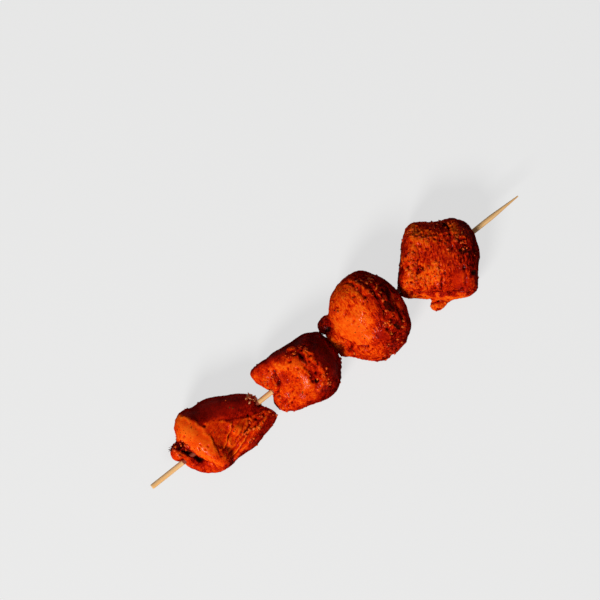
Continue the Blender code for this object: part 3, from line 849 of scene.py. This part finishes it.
bamboo = {
    "rings": 460, "sides": 36, "pointLength": 17 * mm, "tipRadius": 0.35 * mm,
    "bluntEdge": 0.5 * mm, "bluntShare": 0.9,
    "flutes": 0.05 * mm, "fluteSize": 0.5 * mm, "fluteStretch": (0.02, 1.0, 1.0), "fluteMiddle": 0.62,
    "grainStretch": 40, "fibreSize": 0.28, "bandSize": 1.1, "dotSize": 0.5,  # mm
    "dark": (0.89, 0.47, 0.15), "light": (0.97, 0.61, 0.28), "fibre": (0.62, 0.31, 0.12), "fibreShare": 0.45,
    "roughness": 0.52, "roughnessRange": 0.25, "bump": 0.07, "bumpStrength": 0.7, "ior": 1.45,
    # stain is the marinade's stain, and also painted shade on the stick across gaps shorter than shadedGap
    # between chunks.
    "stain": (0.26, 0.018, 0.004), "stainShare": 0.95, "stainMottle": 0.6, "stainEdge": (-0.9, 0.6),
    "shadedGap": 4,  # mm, between chunks that touch
}


def bambooFinish(name):
    b = bamboo
    material, g = newFinish(name)
    place = g.node("ShaderNodeTexCoord", output="Object")
    grain = g.node("ShaderNodeMapping", {"vector_type": "TEXTURE"},
                   {"Vector": place, "Scale": (b["grainStretch"], 1, 1)})
    fibres = g.noise(grain, b["fibreSize"] * mm, seed=7, detail=3, roughness=0.6)
    bands = g.noise(grain, b["bandSize"] * mm, seed=8)
    dots = g.noise(place, b["dotSize"] * mm, seed=9)
    # stain: marinade stain, and painted shade in short gaps between chunks.
    stained = g.step(g.attribute("stain") + (dots - 0.5) * b["stainMottle"], 0.25, 0.9)
    colour = g.mixColour(g.step(bands, 0.35, 0.65), b["dark"], b["light"])
    colour = g.mixColour(g.step(fibres, 0.50, 0.30) * b["fibreShare"], colour, b["fibre"])
    colour = g.mixColour(stained * b["stainShare"], colour, b["stain"])
    roughness = b["roughness"] + (fibres - 0.5) * b["roughnessRange"]
    finishWith(g, {"IOR": b["ior"]},
               {"Base Color": colour, "Roughness": roughness,
                "Normal": g.bump(fibres, b["bump"] * mm, b["bumpStrength"])})
    return material


# Marinade stain near each chunk, and painted shade across gaps shorter than shadedGap, where touching chunks
# shade the stick.
def stainStickAndGaps(mesh):  # where the marinade touches the stick
    places = np.array([v.co.x for v in mesh.vertices]) / mm
    stain = np.zeros(len(places))
    lastEnd = -math.inf
    for start, end in inMeat.values():
        if start - lastEnd < bamboo["shadedGap"]:
            start = lastEnd
        stain = np.maximum(stain, ease(*bamboo["stainEdge"], np.minimum(places - start, end - places)))
        lastEnd = end
    mesh.attributes.new("stain", "FLOAT", "POINT").data.foreach_set("value", stain.astype(np.float32))


def bambooStick():
    b = bamboo
    inputs = {"Length": stickHigh.x - stickLow.x, "Radius": (stickHigh.z - stickLow.z) / 2,
              "Point Length": b["pointLength"], "Tip Radius": b["tipRadius"],
              "Flutes": b["flutes"], "Rings": b["rings"], "Sides": b["sides"]}
    tree, g, given = newTree("bamboo_stick", inputs)
    half = given.other("Length") * 0.5
    start = g.node("ShaderNodeCombineXYZ", {}, {"X": 0 - half, "Y": stickCentre.y, "Z": stickCentre.z})
    end = g.node("ShaderNodeCombineXYZ", {}, {"X": half, "Y": stickCentre.y, "Z": stickCentre.z})
    line = g.node("GeometryNodeCurvePrimitiveLine", {}, {"Start": start, "End": end})
    line = g.node("GeometryNodeResampleCurve", {}, {"Curve": line, "Count": given.other("Rings")})
    along = g.node("GeometryNodeSplineParameter", output="Length")
    taper = g.node("ShaderNodeMapRange", {},
                   {"Value": given.other("Length") - along, "From Max": given.other("Point Length"),
                    "To Min": given.other("Tip Radius"), "To Max": given.other("Radius")})
    blunt = g.node("ShaderNodeMapRange", {},
                   {"Value": along, "From Max": b["bluntEdge"], "To Min": b["bluntShare"], "To Max": 1.0})
    ring = g.node("GeometryNodeCurvePrimitiveCircle", {}, {"Resolution": given.other("Sides"), "Radius": 1.0})
    tube = g.node("GeometryNodeCurveToMesh", {},
                  {"Curve": line, "Profile Curve": ring, "Scale": taper * blunt, "Fill Caps": True})
    place = g.node("GeometryNodeInputPosition")
    stretched = g.node("ShaderNodeVectorMath", {"operation": "MULTIPLY"}, {0: place, 1: b["fluteStretch"]})
    amount = (g.noise(stretched, b["fluteSize"], seed=2) - b["fluteMiddle"]) * given.other("Flutes") * 2
    normal = g.node("GeometryNodeInputNormal")
    shift = g.node("ShaderNodeVectorMath", {"operation": "SCALE"}, {0: normal, "Scale": amount})
    tube = g.node("GeometryNodeSetPosition", {}, {"Geometry": tube, "Offset": shift})
    endTree(g, tube, bambooFinish("dry_bamboo"))
    piece = growPiece("bamboo_stick_grain", bpy.data.meshes.new("empty"), tree, inputs)
    stainStickAndGaps(piece.data)
    return piece


stick = bambooStick()

for piece, node in zip(meat, chunks):
    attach(piece, "root")
    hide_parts(node)
for piece in crumbs:
    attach(piece, "root")
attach(stick, "root")
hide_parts("bamboo_stick")


studio = {
    "floorColour": (0.52, 0.52, 0.51), "floorHalf": 3, "floorGap": 0.05 * mm, "paleBackground": 0.68,
    "keyPower": 58.0, "keySize": 0.75, "keyAway": 2.4, "keyTurn": 207.0, "keyRise": 40.0, "fill": 0.13,
}
white = (1, 1, 1, 1)


def facing(turn, rise):  # a unit direction from a turn in plan and a rise, in degrees
    t, r = math.radians(turn), math.radians(rise)
    return Vector((math.cos(t) * math.cos(r), math.sin(t) * math.cos(r), math.sin(r)))


def makeFloor():
    build = bmesh.new()
    bmesh.ops.create_grid(build, x_segments=1, y_segments=1, size=studio["floorHalf"])
    mesh = bpy.data.meshes.new("floor")
    build.to_mesh(mesh)
    build.free()
    floor = newObject("floor", mesh)
    floor.location.z = -studio["floorGap"]
    material, g = newFinish("pale_floor")
    matte = g.node("ShaderNodeBsdfDiffuse", {}, {"Color": (*studio["floorColour"], 1)})
    glow = g.node("ShaderNodeEmission", {}, {"Color": white, "Strength": 1.0})
    seen = g.node("ShaderNodeLightPath", output="Is Camera Ray")
    both = g.node("ShaderNodeMixShader", {}, {0: seen * studio["paleBackground"], 1: matte, 2: glow})
    g.node("ShaderNodeOutputMaterial", {}, {"Surface": both})
    mesh.materials.append(material)


def makeLights():
    lamp = bpy.data.lights.new("key", "AREA")
    lamp.shape = "DISK"
    lamp.size = studio["keySize"]
    lamp.energy = studio["keyPower"]
    key = newObject("key", lamp)
    away = facing(studio["keyTurn"], studio["keyRise"])
    key.location = away * studio["keyAway"]
    key.rotation_euler = away.to_track_quat("Z", "Y").to_euler()
    world = bpy.data.worlds.new("studio")
    world.use_nodes = True
    bpy.context.scene.world = world
    g = Graph(world.node_tree)
    light = g.node("ShaderNodeBackground", {}, {"Color": white, "Strength": studio["fill"]})
    backdrop = g.node("ShaderNodeBackground", {}, {"Color": white, "Strength": 1.0})
    seen = g.node("ShaderNodeLightPath", output="Is Camera Ray")
    both = g.node("ShaderNodeMixShader", {}, {0: seen, 1: light, 2: backdrop})
    g.node("ShaderNodeOutputWorld", {}, {"Surface": both})


view = {
    "azimuth": -38.5, "elevation": 85.0, "lens": 120.0, "sensor": 36.0, "width": 295.2 * mm,
    "aim": (-1.4 * mm, 27.4 * mm, 16 * mm), "near": 0.05, "far": 20,
}


def makeCamera():
    data = bpy.data.cameras.new("camera")
    data.lens = view["lens"]
    data.sensor_width = view["sensor"]
    data.clip_start = view["near"]
    data.clip_end = view["far"]
    back = facing(view["azimuth"] - 90, view["elevation"])
    away = view["lens"] * view["width"] / view["sensor"]
    camera = newObject("camera", data)
    camera.location = Vector(view["aim"]) + back * away
    camera.rotation_mode = "QUATERNION"
    camera.rotation_quaternion = (-back).to_track_quat("-Z", "Y")
    bpy.context.scene.camera = camera


makeFloor()
makeLights()
makeCamera()
bpy.context.scene.view_settings.view_transform = "Standard"
print("floor, light and camera set")
